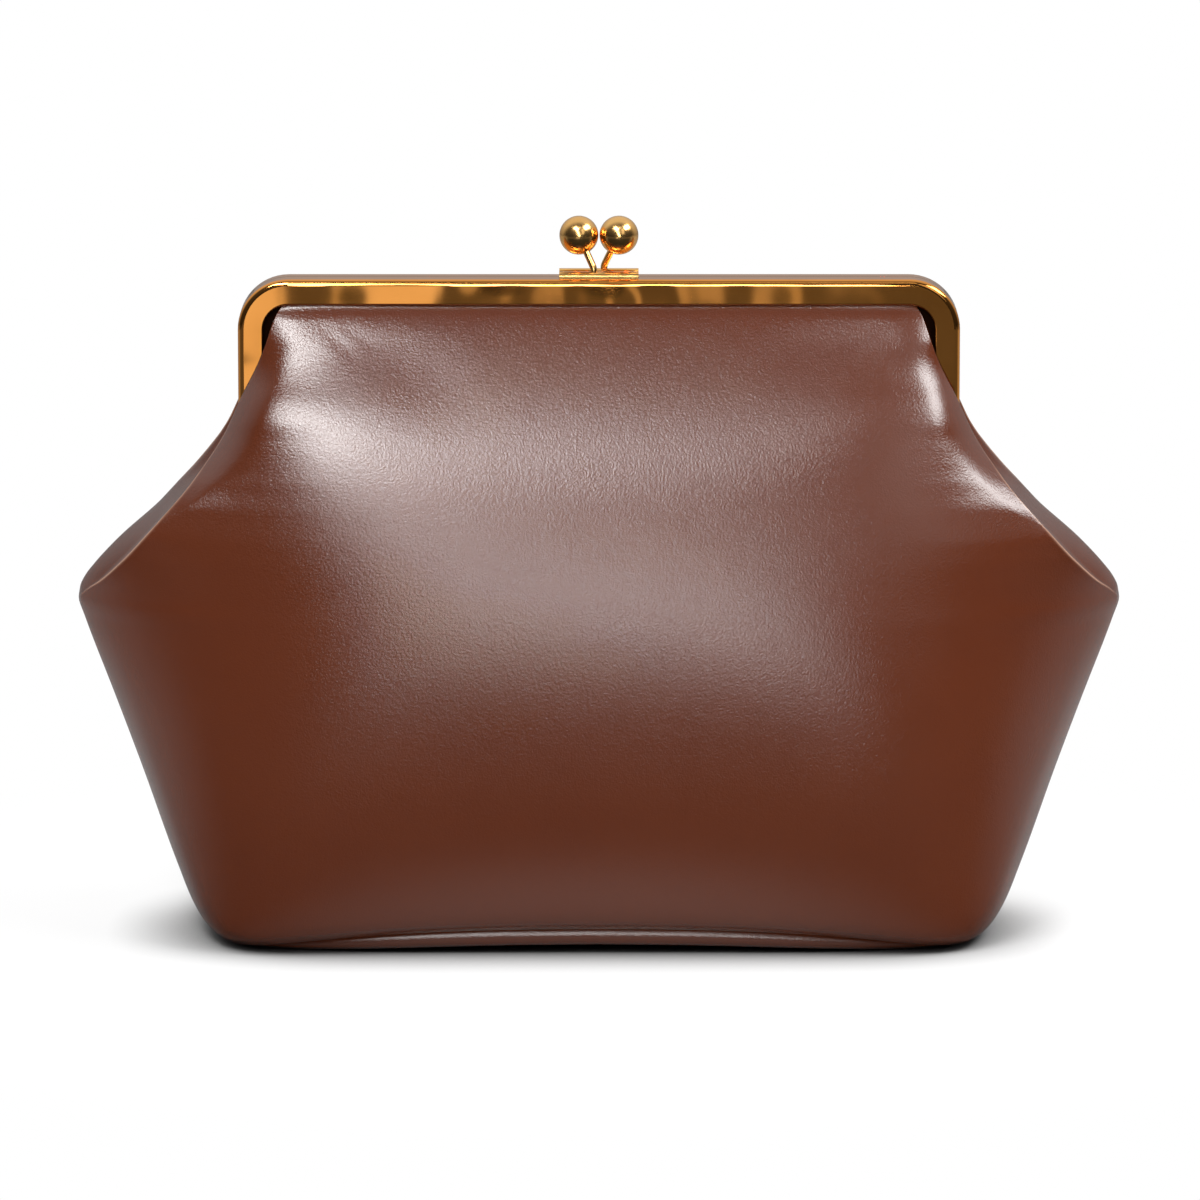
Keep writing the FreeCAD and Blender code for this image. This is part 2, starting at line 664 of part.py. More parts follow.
def main():
    for half, ear_inset in (("front", ZERO), ("back", dim.frame_wall + dim.ear_gap)):
        make_frame(half, ear_inset)
        make_plate(half)
        make_stem(half)
        make_ball(half)
        make_paper_cord(half)
    for side, yaw in (("right", 0), ("left", 180)):
        make_rivet(side, yaw)

    leather, lining, gap = dim.leather.value, dim.lining.value, dim.ply_gap.value
    base, board, seam = dim.base_thickness.value, dim.board.value, dim.seam_gap.value
    panel_top = HINGE_Z.value - dim.panel_split.value
    lining_in = leather + gap
    wedged_in = lining_in + gap + 2 * dim.cord_radius.value
    between_legs = HALF_WIDTH.value - dim.frame_bar.value
    floor, split = base + board, dim.flap_split.value
    for half, yaw in TURN.items():
        panel = lower_panel(0, leather, panel_top, base + seam)
        soft_piece(f"{half}_panel", panel, yaw)
        inside = lower_panel(lining_in, lining, panel_top - leather, floor + seam)
        soft_piece(f"{half}_lining", inside, yaw)
        flap = upper_panel(0, leather, split, HALF_BAG)
        soft_piece(f"{half}_panel_top", flap, yaw)
        inside_flap = upper_panel(wedged_in, lining, split + leather, between_legs)
        soft_piece(f"{half}_lining_top", inside_flap, yaw)
    for side, yaw in (("right", 0), ("left", 180)):
        soft_piece(f"{side}_gusset", gusset(0, leather), yaw)
        soft_piece(f"{side}_gusset_lining", gusset(lining_in, lining), yaw)
    arched_plate("base_panel", ZERO, ZERO, dim.base_thickness)
    arched_plate("base_board", dim.board_inset, dim.base_thickness, dim.board)
    arched_plate("lining_floor", dim.board_inset, dim.base_thickness + dim.board, dim.lining)
    write_parts()


def write_parts():
    """Checks every piece, then writes one file for each."""
    doc.recompute()
    for thing in doc.Objects:
        if {"Invalid", "Error"} & set(thing.State):
            raise RuntimeError(f"{thing.Label} failed: {thing.State}")
    used = {o for thing in doc.Objects if thing.isDerivedFrom("Part::Cut") for o in thing.OutList}
    kinds = ("PartDesign::Body", "Part::Cut", "Part::Cylinder", "Part::Feature")
    pieces = [o for o in doc.Objects if o.TypeId in kinds and o not in used]
    os.makedirs("parts", exist_ok=True)
    for piece in pieces:
        if piece.Shape.isNull() or not piece.Shape.isValid():
            raise RuntimeError(f"{piece.Label} has no valid shape")
        piece.Shape.exportStep(f"parts/{piece.Label}.step")
        print(f"{piece.Label}: {len(piece.Shape.Solids)} solid, {piece.Shape.Volume:.1f} mm3")


main()
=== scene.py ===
import math

import bpy
import numpy as np
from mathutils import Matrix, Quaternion, Vector


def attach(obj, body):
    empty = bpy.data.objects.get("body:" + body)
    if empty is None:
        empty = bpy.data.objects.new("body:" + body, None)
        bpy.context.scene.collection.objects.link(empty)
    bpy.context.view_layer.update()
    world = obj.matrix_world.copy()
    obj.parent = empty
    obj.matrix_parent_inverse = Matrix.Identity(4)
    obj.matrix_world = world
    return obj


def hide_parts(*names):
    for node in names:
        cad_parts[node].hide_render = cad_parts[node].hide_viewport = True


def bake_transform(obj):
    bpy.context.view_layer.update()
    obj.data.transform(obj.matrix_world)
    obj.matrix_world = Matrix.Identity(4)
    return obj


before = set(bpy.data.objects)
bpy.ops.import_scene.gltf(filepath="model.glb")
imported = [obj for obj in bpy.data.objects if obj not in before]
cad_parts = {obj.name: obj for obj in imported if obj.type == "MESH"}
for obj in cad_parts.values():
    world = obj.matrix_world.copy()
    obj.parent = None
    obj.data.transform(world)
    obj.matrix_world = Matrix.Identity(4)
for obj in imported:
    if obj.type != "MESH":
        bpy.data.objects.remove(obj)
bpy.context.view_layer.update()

bpy.ops.object.select_all(action="DESELECT")
scene = bpy.context.scene
MM = 0.001

# Leather skin. Each list pairs a height above the floor with a size at that height, in
# millimetres: the seam's half width, how far the seam and the belly stand forward, and where the
# leather ends behind the seam, at the gusset's fold or in the frame.
SEAM_WIDTH = (
    (90, 144.0), (94.5, 144.5), (97.5, 142.4), (101, 138.3), (105, 134.3), (110, 129.6), (115.4, 124.9),
    (122, 119.0), (128.7, 113.1), (134.3, 108.8), (138.5, 105.8), (142.5, 103.4), (147, 101.3), (152, 99.0),
    (158, 95.8), (162, 93.9), (166, 92.3), (170, 91.0), (174, 89.4), (178, 87.0), (182, 86.0),
)
SEAM_DEPTH = (
    (0, 3.5), (91, 3.5), (94.5, 4.6), (97.5, 9.0), (101, 15.2), (105, 20.0), (110, 23.8), (115.4, 25.4),
    (122, 24.4), (128.7, 21.0), (134.3, 16.6), (138.5, 13.8), (142.5, 12.0), (147, 10.9), (152, 10.3),
    (159, 9.9), (166, 9.6), (173, 7.6), (177, 5.4), (182, 5.2),
)
BELLY_DEPTH = (
    (0, 37.5), (3, 40.6), (8, 42.7), (20, 45.0), (45, 47.6), (70, 47.3), (93, 45.2), (112, 41), (131, 34),
    (142, 28.6), (151, 23.4), (160, 17.4), (166, 13.4), (172, 9.2), (175, 6.9), (177, 5.4), (182, 5.2),
)
END_WIDTH = (
    (90, 144.2), (94, 145.0), (97, 144.7), (100, 143.3), (103, 141.0), (107, 137.4), (112, 132.2),
    (118, 124.2), (124, 115.0), (131, 105.4), (136, 102.2), (141, 101.0), (145, 98.0), (149, 94.6),
    (153, 93.6), (160, 94.2), (170, 94.5), (175, 92.9), (177, 90.8), (178.4, 87.4), (182, 86.0),
)
END_DEPTH = (
    (0, 0), (131, 0), (136, 2.6), (141, 6.6), (145, 8.2), (149, 7.8), (153, 6.0), (158, 4.8), (166, 4.4),
    (177, 4.6), (182, 4.8),
)

# The front's section at each height is a rounded box: its half width in millimetres, then powers
# for how flat its front is, how round its sides are and how hollow the folded gusset is.
PILLOW_WIDTH = (
    (0, 105), (3, 109.5), (8, 113.2), (20, 118.4), (45, 127.4), (70, 136.6), (84, 141.9), (90, 144.0),
    (94, 145.4), (97.5, 147.4), (101, 149.8), (105, 152.6), (110, 155.0), (115.4, 154.0), (122, 144.0),
    (128.7, 125.6), (134.3, 114.2), (138.5, 108.7), (142.5, 105.3), (147, 102.8), (152, 100.9), (159, 98.9),
    (166, 98.3), (177, 96), (182, 95),
)
FRONT_FLATNESS = (
    (0, 14), (8, 13), (20, 11), (45, 8), (70, 5.6), (93, 3.8), (110, 3.3), (118, 3.4), (124, 4.2),
    (130, 6.0), (136, 8.5), (142, 11.5), (148, 13.5), (156, 14), (166, 13), (177, 12),
)
SIDE_ROUNDNESS = (
    (0, 0.42), (20, 0.55), (45, 0.68), (70, 0.76), (93, 0.74), (116, 0.70), (124, 0.66), (132, 0.58),
    (140, 0.52), (150, 0.50), (177, 0.50),
)
HOLLOW = ((0, 1.7), (124, 1.7), (138, 1.0), (182, 1.0))

# How the front turns into the seam, with a low lip along it
SEAM_PULL = 6.0
LIP_HEIGHT = ((0, 0), (93, 0), (97, 0.2), (106, 0.25), (140, 0.25), (160, 0.2), (170, 0), (182, 0))
LIP_WIDTH = 1.8

# Soft creases of the front, in front-view millimetres: start, end, width, depth. A negative
# depth is a ridge. Each fades in and out over these shares of its length.
FRONT_CREASES = (
    ((-85, 179), (-30, 148), 9.0, 0.3),
    ((-84, 178), (-66, 162), 1.4, 0.12),
    ((-81, 178), (-60, 165), 1.1, 0.10),
    ((87, 176), (107, 132), 6.0, -0.8),
    ((85, 179), (44, 160), 8.0, 0.25),
    ((86, 178), (64, 164), 1.3, 0.12),
    ((84, 179), (56, 168), 1.1, 0.10),
)
CREASE_START_SHARES = (-0.15, 0.25)
CREASE_END_SHARES = (0.55, 1.1)

# Stretches of height, in millimetres, over which one form passes into the next
TIP_STRETCH = (89, 96)
FOLD_STRETCH = (128, 150)
TUCK_STRETCH = (150, 160)
CREASE_END_STRETCH = (166, 175)
MEAN_START, MEAN_END = (10, 40), (150, 170)

# The front is calmed up to these shares of its half width, further out by the tips and less far
# out by the frame.
CALM_SHARES = (0.84, 0.96)
TIP_GAIN_SHARE, FRAME_LOSS_SHARE, OUTER_GAIN_SHARE = 0.08, 0.05, 0.6
TIP_GAIN_START, TIP_GAIN_END = (94, 108), (114, 126)
FRAME_LOSS_STRETCH = (124, 138)
CALM_START, CALM_END = (4, 24), (160, 176)
CALM_STEPS = 160
CALM_REACH = 160

# How the tables are evened out and the leather turns over at the seam
MEAN_REACH, MEAN_SAMPLES = 5.0, 11
TUCK_POWER = 5
FOLD_REACH, FOLD_STEPS = 12, 4

# Extent and fineness of the leather and its lining
LEATHER_TOP = 181.0
FRONT_COLUMNS, RETURN_COLUMNS = 84, 26
LINING_INSET = 1.9
LINING_TOP = 178.0
JOIN_TOLERANCE = 0.01

# The seam along the base arches up in the middle.
SEAM_ARCH, SEAM_REACH, ARCH_POWER = 7.0, 104.0, 2.4
ARCH_FADE = 34.0
SEAM_LIFT = 0.4


def follow(keys, at):
    """A smooth curve through (place, size) pairs that doesn't swing past them."""
    xs, ys = (np.array(column, float) for column in zip(*keys))
    at = np.clip(np.asarray(at, float), xs[0], xs[-1])
    steps = np.diff(xs)
    slopes = np.diff(ys) / steps
    tangents = np.zeros_like(ys)
    same_way = slopes[:-1] * slopes[1:] > 0
    weight_a, weight_b = 2 * steps[1:] + steps[:-1], steps[1:] + 2 * steps[:-1]
    safe = np.where(same_way, slopes[:-1] * slopes[1:], 1)
    harmonic = (weight_a + weight_b) * safe / (weight_a * slopes[1:] + weight_b * slopes[:-1] + 1e-12)
    tangents[1:-1] = np.where(same_way, harmonic, 0)
    tangents[0], tangents[-1] = slopes[0], slopes[-1]
    i = np.clip(np.searchsorted(xs, at, side="right") - 1, 0, len(steps) - 1)
    t = (at - xs[i]) / steps[i]
    h00, h10 = (1 + 2 * t) * (1 - t) ** 2, t * (1 - t) ** 2
    h01, h11 = t * t * (3 - 2 * t), t * t * (t - 1)
    return h00 * ys[i] + h10 * steps[i] * tangents[i] + h01 * ys[i + 1] + h11 * steps[i] * tangents[i + 1]


def ramp(value, low, high):
    """0 below low, 1 above high, smooth between."""
    t = np.clip((value - low) / (high - low), 0, 1)
    return t * t * (3 - 2 * t)


def blur(rows):
    """Each row but the first and the last becomes the mean of itself and its neighbours."""
    calm = rows.copy()
    calm[1:-1] = 0.25 * rows[:-2] + 0.5 * rows[1:-1] + 0.25 * rows[2:]
    return calm


def crease(x, z, start, end, width, depth):
    """A soft groove along a straight line in the front view, fading at both ends."""
    start, end = np.array(start, float), np.array(end, float)
    along = end - start
    length = np.hypot(*along)
    along = along / length
    run = ((x - start[0]) * along[0] + (z - start[1]) * along[1]) / length
    off = -(x - start[0]) * along[1] + (z - start[1]) * along[0]
    fade = ramp(run, *CREASE_START_SHARES) * (1 - ramp(run, *CREASE_END_SHARES))
    return depth * fade * np.exp(-((off / width) ** 2))


def seam_arch(x, height):
    """The arch of the seam along the base, at its height in the middle."""
    return height * np.clip(1 - (np.abs(x) / SEAM_REACH) ** ARCH_POWER, 0, 1)


def soft(keys, z):
    """The curve's mean over a stretch of height that narrows towards the floor and the frame."""
    stretch = MEAN_REACH * ramp(z, *MEAN_START) * (1 - ramp(z, *MEAN_END))
    return float(np.mean(follow(keys, z + stretch * np.linspace(-1, 1, MEAN_SAMPLES))))


def pillow_form(z):
    """The section's half width, depth, flatness and roundness at this height."""
    return soft(PILLOW_WIDTH, z), soft(BELLY_DEPTH, z), soft(FRONT_FLATNESS, z), soft(SIDE_ROUNDNESS, z)


def swell(z, x):
    """How far the front swells forward at this height and distance from the middle."""
    width, belly, flatness, roundness = pillow_form(z)
    return belly * (1 - np.minimum(x / width, 1) ** flatness) ** roundness


def side_width(z, depth):
    """How wide the rounded side below the tips is at this depth from the middle."""
    width, belly, flatness, roundness = pillow_form(z)
    inside = np.clip(1 - (np.asarray(depth) / belly) ** (1 / roundness), 0, 1)
    return width * inside ** (1 / flatness)


def calming(heights, wide):
    """What calming adds to the front's swell, for each height and distance from the middle."""
    depth = np.empty((len(heights), len(wide)))
    calm = np.empty_like(depth)
    inner, outer = CALM_SHARES
    for i, z in enumerate(heights):
        depth[i] = swell(z, wide)
        edge = min(soft(PILLOW_WIDTH, z), follow(SEAM_WIDTH, z))
        gain = TIP_GAIN_SHARE * ramp(z, *TIP_GAIN_START) * (1 - ramp(z, *TIP_GAIN_END))
        gain = gain - FRAME_LOSS_SHARE * ramp(z, *FRAME_LOSS_STRETCH)
        calm[i] = 1 - ramp(wide / edge, inner + gain, outer + OUTER_GAIN_SHARE * gain)
        calm[i] *= ramp(z, *CALM_START) * (1 - ramp(z, *CALM_END))
    plain = depth.copy()
    for _ in range(CALM_STEPS):
        flat = blur(depth)
        padded = np.concatenate([flat[:, 1:2], flat, flat[:, -1:]], axis=1)
        flat = blur(padded.T).T[:, 1:-1]
        depth += (flat - depth) * calm
    return depth - plain


def half_section(z, wide, change):
    """Points (distance from the middle, distance forward) from the middle of the front round the
    seam to the gusset's fold."""
    across = np.sin(np.linspace(0, math.pi / 2, FRONT_COLUMNS))
    back = np.linspace(0, 1, RETURN_COLUMNS)[1:]
    above = ramp(z, *TIP_STRETCH)
    seam = follow(SEAM_DEPTH, z)
    width = (1 - above) * side_width(z, seam) + above * follow(SEAM_WIDTH, z)
    front_x = width * across
    front_y = swell(z, front_x) + np.interp(front_x, wide, change)
    front_y = front_y + (seam - front_y[-1]) * across**SEAM_PULL
    front_y = front_y + follow(LIP_HEIGHT, z) * np.exp(-(((width - front_x) / LIP_WIDTH) ** 2))
    end_x, end_y = follow(END_WIDTH, z), follow(END_DEPTH, z)
    back_y = seam + (end_y - seam) * back
    tucked = ramp(z, *TUCK_STRETCH)
    bend = (1 - tucked) * (1 - back) ** follow(HOLLOW, z) + tucked * (1 - back**TUCK_POWER)
    folded = end_x + (width - end_x) * bend
    back_x = above * folded + (1 - above) * side_width(z, back_y)
    half = np.column_stack([np.concatenate([front_x, back_x]), np.concatenate([front_y, back_y])])
    fold = FRONT_COLUMNS - 1
    reach = slice(fold - FOLD_REACH, fold + FOLD_REACH + 1)
    for _ in range(int(round(1 + FOLD_STEPS * ramp(z, *FOLD_STRETCH)))):
        half[reach] = blur(half[reach])
    return half


def skin_grid():
    """The front leather as a grid of points in millimetres: rows go up, columns run from the left
    gusset's fold round the front to the right one's."""
    heights = np.arange(LEATHER_TOP + 1)
    wide = np.linspace(0, CALM_REACH, CALM_REACH + 1)
    rows = []
    for z, change in zip(heights, calming(heights, wide)):
        half = half_section(z, wide, change)
        left = half[:0:-1] * (-1, 1)
        section = np.concatenate([left, half])
        rows.append(np.column_stack([section[:, 0], -section[:, 1], np.full(len(section), z)]))
    grid = np.array(rows)
    x, z = grid[..., 0].copy(), grid[..., 2].copy()
    push = sum(crease(x, z, *line) for line in FRONT_CREASES)
    on_front = past_seam(grid) < -1
    grid[..., 1] += push * on_front * (1 - ramp(z, *CREASE_END_STRETCH))
    fade = np.clip(1 - z / ARCH_FADE, 0, 1)
    grid[..., 2] += seam_arch(x, SEAM_ARCH) * fade**2 + SEAM_LIFT * fade
    return grid


def past_seam(grid):
    """How many columns each column lies behind the seam."""
    columns = grid.shape[1]
    return np.abs(np.arange(columns) - (columns - 1) / 2) - (FRONT_COLUMNS - 1)


# The fold's painted shade and the painted highlight along the seam, which the leather's finish reads
SHADE_COLUMNS = 4
FOLD_SHADE = 0.85
SHADE_START, SLOT_STRETCH = (92, 104), (152, 162)
EDGE_WIDTH, EDGE_TINT = 0.5, 0.9
EDGE_START, EDGE_END = (94, 102), (140, 152)


def fold_shade(grid):
    """How much painted shade each point of the leather gets from the gusset's fold."""
    z = grid[..., 2]
    depth = FOLD_SHADE + (1 - FOLD_SHADE) * ramp(z, *SLOT_STRETCH)
    return ramp(past_seam(grid), 0, SHADE_COLUMNS) * depth * ramp(z, *SHADE_START)


def seam_painted_highlight(grid):
    """How much each point of the leather gets the painted highlight along the side seam."""
    middle = (grid.shape[1] - 1) // 2
    edges = []
    for fold in (middle - (FRONT_COLUMNS - 1), middle + FRONT_COLUMNS - 1):
        away = np.linalg.norm(grid - grid[:, fold : fold + 1], axis=-1)
        edges.append(np.exp(-((away / EDGE_WIDTH) ** 2)))
    z = grid[..., 2]
    return np.maximum(*edges) * ramp(z, *EDGE_START) * (1 - ramp(z, *EDGE_END)) * EDGE_TINT


def inner_grid(grid):
    """The grid moved inwards, for the lining, from its floor up into the channel."""
    normal = np.cross(np.gradient(grid, axis=1), np.gradient(grid, axis=0))
    normal[..., 2] = 0
    normal /= np.linalg.norm(normal, axis=-1, keepdims=True) + 1e-9
    inner = grid - normal * LINING_INSET
    joined = np.abs(grid[:, 0, 1]) < JOIN_TOLERANCE
    inner[joined, 0, 1] = 0
    inner[joined, -1, 1] = 0
    return inner[grid[:, 0, 2] < LINING_TOP]


def grid_mesh(name, grid, turn=False, flip=False):
    """A sheet from a grid of points, turned half round about Z if it is the back one."""
    points = grid.reshape(-1, 3) * MM
    if turn:
        points = points * (-1, -1, 1)
    rows, columns = grid.shape[:2]
    index = np.arange(rows * columns).reshape(rows, columns)
    corners = [index[:-1, :-1], index[:-1, 1:], index[1:, 1:], index[1:, :-1]]
    if flip:
        corners = corners[::-1]
    faces = np.stack(corners, axis=-1).reshape(-1, 4)
    mesh = bpy.data.meshes.new(name)
    mesh.from_pydata(points.tolist(), [], faces.tolist())
    mesh.polygons.foreach_set("use_smooth", [True] * len(mesh.polygons))
    layer = mesh.uv_layers.new(name="UVMap")
    places = np.stack(np.meshgrid(np.linspace(0, 1, columns), np.linspace(0, 1, rows)), axis=-1)
    flat = places.reshape(-1, 2)[faces.reshape(-1)]
    layer.data.foreach_set("uv", flat.reshape(-1))
    mesh.update()
    obj = bpy.data.objects.new(name, mesh)
    scene.collection.objects.link(obj)
    return obj


class Wiring:
    """The nodes of a finish or of the room, with short ways to add and join them."""

    def __init__(self, tree):
        self.nodes, self.links = tree.nodes, tree.links

    def feed(self, socket, value):
        """Join a socket to another node's output, or set it where the value is a plain one."""
        if isinstance(value, bpy.types.NodeSocket):
            self.links.new(value, socket)
        else:
            socket.default_value = value

    def math(self, kind, *values):
        node = self.nodes.new("ShaderNodeMath")
        node.operation = kind
        for socket, value in zip(node.inputs, values):
            self.feed(socket, value)
        return node.outputs["Value"]

    def spread(self, value, start, end, low, high, smooth=False):
        """Low at start and before it, high at end and after it."""
        node = self.nodes.new("ShaderNodeMapRange")
        if smooth:
            node.interpolation_type = "SMOOTHSTEP"
        self.feed(node.inputs["Value"], value)
        self.feed(node.inputs["From Min"], start)
        self.feed(node.inputs["From Max"], end)
        self.feed(node.inputs["To Min"], low)
        self.feed(node.inputs["To Max"], high)
        return node.outputs["Result"]

    def mix(self, kind, factor, first, second):
        node = self.nodes.new("ShaderNodeMix")
        node.data_type = kind
        self.feed(node.inputs["Factor"], factor)
        self.feed(node.inputs["A"], first)
        self.feed(node.inputs["B"], second)
        return node.outputs["Result"]

    def noise(self, place, scale, detail=4.0, rough=0.55):
        node = self.nodes.new("ShaderNodeTexNoise")
        self.feed(node.inputs["Vector"], place)
        self.feed(node.inputs["Scale"], scale)
        self.feed(node.inputs["Detail"], detail)
        self.feed(node.inputs["Roughness"], rough)
        return node.outputs["Fac"]

    def shades(self, value, stops):
        """A colour for each value, from two (value, colour) stops."""
        node = self.nodes.new("ShaderNodeValToRGB")
        for element, (where, colour) in zip(node.color_ramp.elements, stops):
            element.position = where
            element.color = (*colour, 1)
        self.feed(node.inputs["Fac"], value)
        return node.outputs["Color"]

    def bump(self, height, strength, distance, onto=None):
        node = self.nodes.new("ShaderNodeBump")
        self.feed(node.inputs["Height"], height)
        self.feed(node.inputs["Strength"], strength)
        self.feed(node.inputs["Distance"], distance)
        if onto:
            self.feed(node.inputs["Normal"], onto)
        return node.outputs["Normal"]

    def attribute(self, name):
        node = self.nodes.new("ShaderNodeAttribute")
        node.attribute_name = name
        return node.outputs["Fac"]

    def axes(self, vector):
        node = self.nodes.new("ShaderNodeSeparateXYZ")
        self.feed(node.inputs["Vector"], vector)
        return node.outputs

    def coordinates(self, kind):
        return self.nodes.new("ShaderNodeTexCoord").outputs[kind]

    def rays(self):
        return self.nodes.new("ShaderNodeLightPath").outputs


def new_finish(name):
    material = bpy.data.materials.new(name)
    material.use_nodes = True
    wires = Wiring(material.node_tree)
    return material, wires, wires.nodes["Principled BSDF"], wires.coordinates("Object")


# Near-black colour of the painted shade in the gusset's slot beside the frame
SLOT_SHADE_PAINT = (0.006, 0.002, 0.001, 1)
# Pale colour of the painted highlight along the side seam
SEAM_HIGHLIGHT_PAINT = (0.42, 0.24, 0.16, 1)


def leather_finish():
    """Satin brown leather, with painted shade in the gusset's slot beside the frame and a painted highlight
    along the seam.
    """
    material, wires, shader, place = new_finish("brown_leather")
    cloud = wires.noise(place, scale=14, detail=5, rough=0.6)
    brown = wires.shades(cloud, ((0.25, (0.079, 0.0170, 0.0054)), (0.75, (0.090, 0.0205, 0.0069))))
    # Painted shade: near black in the slot beside the frame, and less reflection behind the seam
    shade = wires.attribute("fold_shade")
    slot = wires.spread(shade, 0.9, 1.0, 0.0, 1.0)
    brown = wires.mix("RGBA", slot, brown, SLOT_SHADE_PAINT)
    # Painted highlight: a pale line along the side seam
    brown = wires.mix("RGBA", wires.attribute("seam_painted_highlight"), brown, SEAM_HIGHLIGHT_PAINT)
    wires.feed(shader.inputs["Base Color"], brown)
    wires.feed(shader.inputs["Specular IOR Level"], wires.spread(shade, 0.0, 1.0, 0.8, 0.0))
    mottle = wires.noise(place, scale=420, detail=4)
    wires.feed(shader.inputs["Roughness"], wires.spread(mottle, 0.0, 1.0, 0.14, 0.20))
    grain = wires.bump(wires.noise(place, scale=2000, detail=3), strength=0.24, distance=0.0003)
    wrinkle = wires.noise(place, scale=900, detail=6, rough=0.62)
    grain = wires.bump(wrinkle, strength=0.16, distance=0.0003, onto=grain)
    wires.feed(shader.inputs["Normal"], grain)
    return material


def gold_finish(name, wave, dark, pale, polish):
    """Polished gold plate; wave is how strongly its flat faces ripple, polish its least and most
    roughness."""
    material, wires, shader, place = new_finish(name)
    tone = wires.noise(place, scale=60, detail=2)
    wires.feed(shader.inputs["Base Color"], wires.shades(tone, ((0.35, dark), (0.70, pale))))
    wires.feed(shader.inputs["Metallic"], 1.0)
    smear = wires.noise(place, scale=240, detail=3)
    wires.feed(shader.inputs["Roughness"], wires.spread(smear, 0.0, 1.0, *polish))
    facing = wires.math("ABSOLUTE", wires.axes(wires.coordinates("Normal"))["Y"])
    on_face = wires.spread(facing, 0.96, 0.995, 0.0, wave)
    ripple = wires.noise(place, scale=34, detail=1)
    wires.feed(shader.inputs["Normal"], wires.bump(ripple, strength=on_face, distance=0.0017))
    return material


def lining_finish():
    material, wires, shader, place = new_finish("lining_cloth")
    tone = wires.noise(place, scale=300)
    cloth = wires.shades(tone, ((0.3, (0.10, 0.055, 0.036)), (0.7, (0.15, 0.085, 0.058))))
    wires.feed(shader.inputs["Base Color"], cloth)
    wires.feed(shader.inputs["Roughness"], 0.85)
    wires.feed(shader.inputs["Sheen Weight"], 0.2)
    weave = wires.nodes.new("ShaderNodeTexWave")
    wires.feed(weave.inputs["Scale"], 700)
    wires.feed(weave.inputs["Distortion"], 1.5)
    wires.feed(weave.inputs["Vector"], place)
    threads = wires.bump(weave.outputs["Fac"], strength=0.3, distance=0.0002)
    wires.feed(shader.inputs["Normal"], threads)
    return material


def board_finish():
    material, wires, shader, place = new_finish("grey_board")
    tone = wires.noise(place, scale=500, detail=5)
    pulp = wires.shades(tone, ((0.3, (0.30, 0.24, 0.17)), (0.7, (0.42, 0.34, 0.25))))
    wires.feed(shader.inputs["Base Color"], pulp)
    wires.feed(shader.inputs["Roughness"], 0.9)
    wires.feed(shader.inputs["Normal"], wires.bump(tone, strength=0.2, distance=0.0003))
    return material


LEATHER = leather_finish()
GOLD = gold_finish("polished_gold", 1.0, (0.84, 0.34, 0.070), (0.91, 0.38, 0.086), (0.05, 0.10))
SMOOTH_GOLD = gold_finish("smooth_gold", 0.02, (0.92, 0.52, 0.17), (0.97, 0.57, 0.20), (0.16, 0.24))
LINING = lining_finish()
BOARD = board_finish()


def paint(obj, material):
    obj.data.materials.clear()
    obj.data.materials.append(material)


for name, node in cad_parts.items():
    if "lining" in name:
        paint(node, LINING)
    elif "board" in name or "cord" in name:
        paint(node, BOARD)
    elif "panel" in name or "gusset" in name:
        paint(node, LEATHER)
    elif "frame" in name:
        paint(node, GOLD)
    else:
        paint(node, SMOOTH_GOLD)


def bend_with(obj):
    """Bakes the sheet's placement into its mesh."""
    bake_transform(obj)


skin = skin_grid()
lining = inner_grid(skin)
for half, turn, gusset in (("front", False, "left_gusset"), ("back", True, "right_gusset")):
    leather = grid_mesh(f"{half}_leather", skin, turn)
    # Store the fold's painted shade and the seam's painted highlight on the points for the finish
    for attribute, values in (("fold_shade", fold_shade(skin)), ("seam_painted_highlight", seam_painted_highlight(skin))):
        layer = leather.data.attributes.new(attribute, "FLOAT", "POINT")
        layer.data.foreach_set("value", values.reshape(-1))
    paint(leather, LEATHER)
    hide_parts(f"{half}_panel", f"{half}_panel_top")
    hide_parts(gusset)
    bend_with(leather)
    cloth = grid_mesh(f"{half}_lining_cloth", lining, turn, flip=True)
    paint(cloth, LINING)
    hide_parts(f"{half}_lining", f"{half}_lining_top")
    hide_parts(f"{gusset}_lining")
    bend_with(cloth)

# Lining floor: a cloth sheet turned up a little where it meets the walls
FLOOR_ROW_HEIGHT = 9.0
FLOOR_SHARES = (1.0, 0.985, 0.96, 0.90, 0.75, 0.5, 0.25, 0.0)
FLOOR_DROPS = (0.0, 1.4, 2.0, 2.2, 2.2, 2.2, 2.2, 2.2)
row = int(np.searchsorted(skin[:, skin.shape[1] // 2, 2], FLOOR_ROW_HEIGHT))
edge = np.concatenate([lining[row], lining[row][1:] * (-1, -1, 1)])
rings = [edge * (share, share, 1) - (0, 0, drop) for share, drop in zip(FLOOR_SHARES, FLOOR_DROPS)]
floor_cloth = grid_mesh("lining_floor_cloth", np.array(rings))
paint(floor_cloth, LINING)
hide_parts("lining_floor")
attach(floor_cloth, "bag")

# Base: a rolled rim that follows the seam, with a slightly arched underside
BASE_HALF_WIDTH, BASE_HALF_DEPTH = 104.0, 36.6
BASE_WIDTH_POWER, BASE_DEPTH_POWER = 0.42, 0.62
BASE_ARCH = 2.4
RIM_DEPTH, RIM_OUTSET = 2.6, 1.2
RIM_FOOT, RIM_LAP = 0.05, 0.6
RIM_STEPS = 9
RIM_POINTS = 200
UNDERSIDE_SHARES = (0.8, 0.5, 0.2, 0.0)
UNDERSIDE_RISE = 0.3


